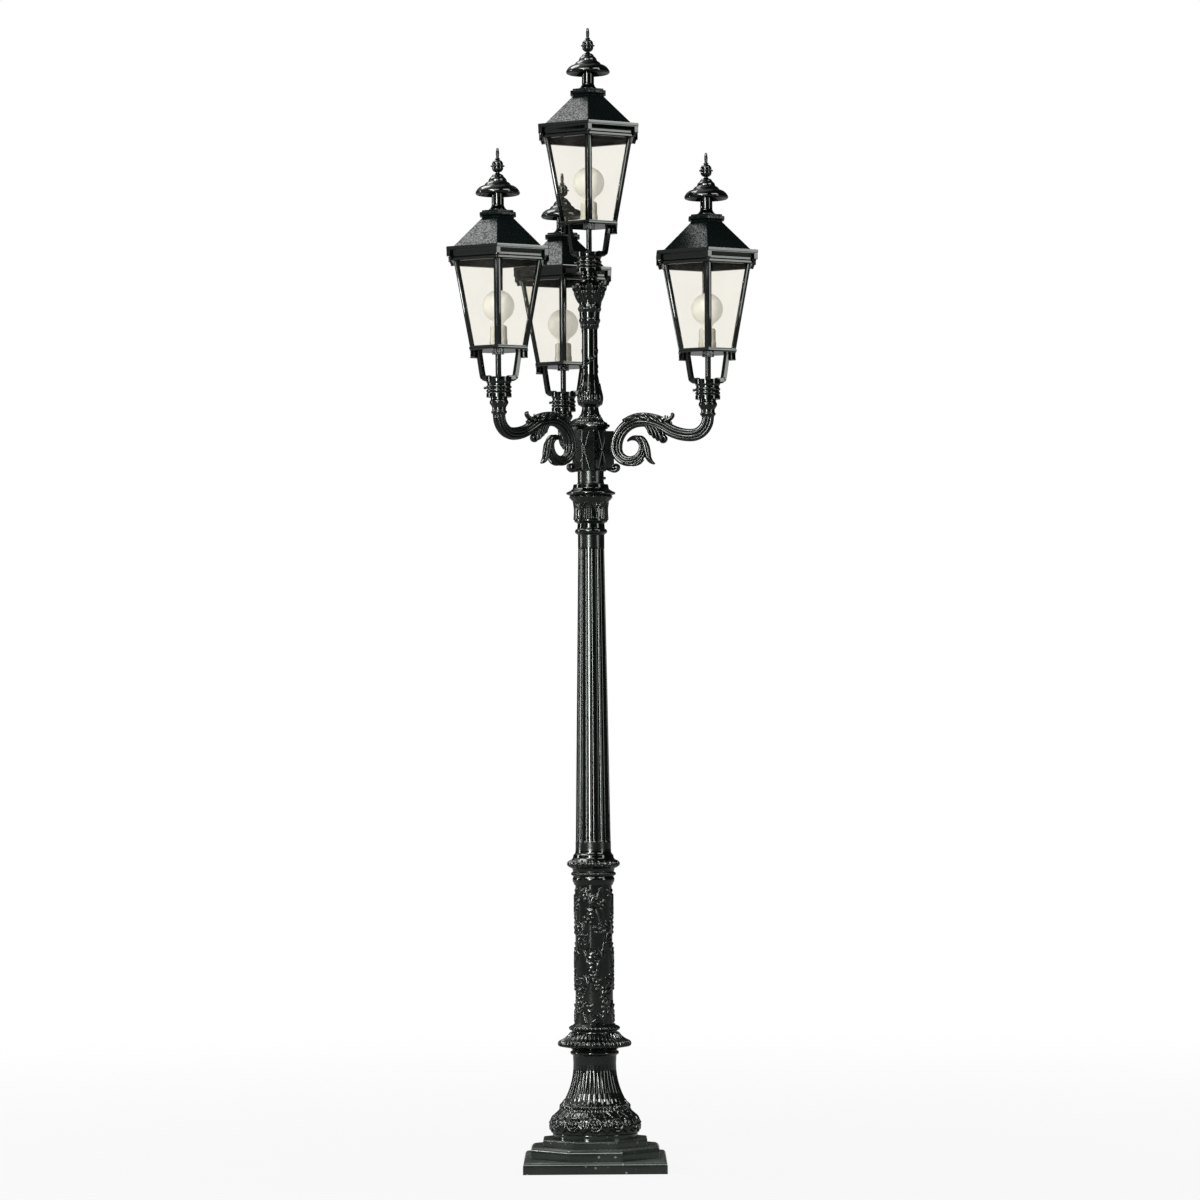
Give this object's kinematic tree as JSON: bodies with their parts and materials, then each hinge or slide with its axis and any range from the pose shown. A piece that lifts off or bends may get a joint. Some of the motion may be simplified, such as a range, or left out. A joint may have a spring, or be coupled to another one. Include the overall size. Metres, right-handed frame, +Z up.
{
  "type": "lamp post",
  "caption": "Cast ornamental lamp post with a fluted column, scroll arms and hexagonal lanterns whose roofs hinge open.",
  "frame": {"origin": "on the post axis at the ground, the centre of the anchor bolts", "axes": "+Z up along the post; the front looks along +Y with +X to the right; the plinth's sides lie along X and Y"},
  "size_m": [0.9276, 0.9628, 3.4513],
  "materials": {
    "painted_casting": "gloss",
    "galvanised_steel": "satin",
    "clear_glass": "clear",
    "opal_glass": "opal",
    "ivory_holder": "gloss",
    "terminal_plastic": "matte"
  },
  "bodies": {
    "post": {"anchor_plate": "galvanised_steel", "core_tube": "galvanised_steel", "base_plinth": "painted_casting", "pedestal_bell": "painted_casting", "terminal_block": "terminal_plastic", "leaf_collar": "painted_casting", "shaft_drum": "painted_casting", "drum_collar": "painted_casting", "fluted_column": "painted_casting", "capital": "painted_casting", "arm_hub": "painted_casting", "hub_cap": "painted_casting", "riser": "painted_casting", "riser_capital": "painted_casting", "arm_right": "painted_casting", "arm_left": "painted_casting", "arm_rear": "painted_casting", "arm_bolts": "galvanised_steel", "set_screws": "painted_casting", "hinge_pins": "galvanised_steel", "top_cradle": "painted_casting", "top_tray": "painted_casting", "top_glazing_bars": "painted_casting", "top_glass_panes": "clear_glass", "top_cornice": "painted_casting", "top_lamp_holder": "ivory_holder", "top_globe_bulb": "opal_glass", "right_cradle": "painted_casting", "right_tray": "painted_casting", "right_glazing_bars": "painted_casting", "right_glass_panes": "clear_glass", "right_cornice": "painted_casting", "right_lamp_holder": "ivory_holder", "right_globe_bulb": "opal_glass", "rear_cradle": "painted_casting", "rear_tray": "painted_casting", "rear_glazing_bars": "painted_casting", "rear_glass_panes": "clear_glass", "rear_cornice": "painted_casting", "rear_lamp_holder": "ivory_holder", "rear_globe_bulb": "opal_glass", "left_cradle": "painted_casting", "left_tray": "painted_casting", "left_glazing_bars": "painted_casting", "left_glass_panes": "clear_glass", "left_cornice": "painted_casting", "left_lamp_holder": "ivory_holder", "left_globe_bulb": "opal_glass"},
    "top_lid": {"top_roof": "painted_casting", "top_ventilator": "painted_casting", "top_finial": "painted_casting"},
    "right_lid": {"right_roof": "painted_casting", "right_ventilator": "painted_casting", "right_finial": "painted_casting"},
    "rear_lid": {"rear_roof": "painted_casting", "rear_ventilator": "painted_casting", "rear_finial": "painted_casting"},
    "left_lid": {"left_roof": "painted_casting", "left_ventilator": "painted_casting", "left_finial": "painted_casting"}
  },
  "joints": [
    {"name": "top_roof_hinge", "type": "hinge", "parent": "post", "child": "top_lid", "pos_m": [0.06899, 0.11949, 3.1555], "axis": [-0.866, 0.5, 0], "range_deg": [0, 100]},
    {"name": "right_roof_hinge", "type": "hinge", "parent": "post", "child": "right_lid", "pos_m": [0.42282, 0.01131, 2.7585], "axis": [-0.866, 0.5, 0], "range_deg": [0, 100]},
    {"name": "rear_roof_hinge", "type": "hinge", "parent": "post", "child": "rear_lid", "pos_m": [-0.15222, 0.48, 2.7585], "axis": [-0.866, -0.5, 0], "range_deg": [0, 100]},
    {"name": "left_roof_hinge", "type": "hinge", "parent": "post", "child": "left_lid", "pos_m": [-0.33959, -0.13285, 2.7585], "axis": [-0.866, -0.5, 0], "range_deg": [0, 100]}
  ]
}
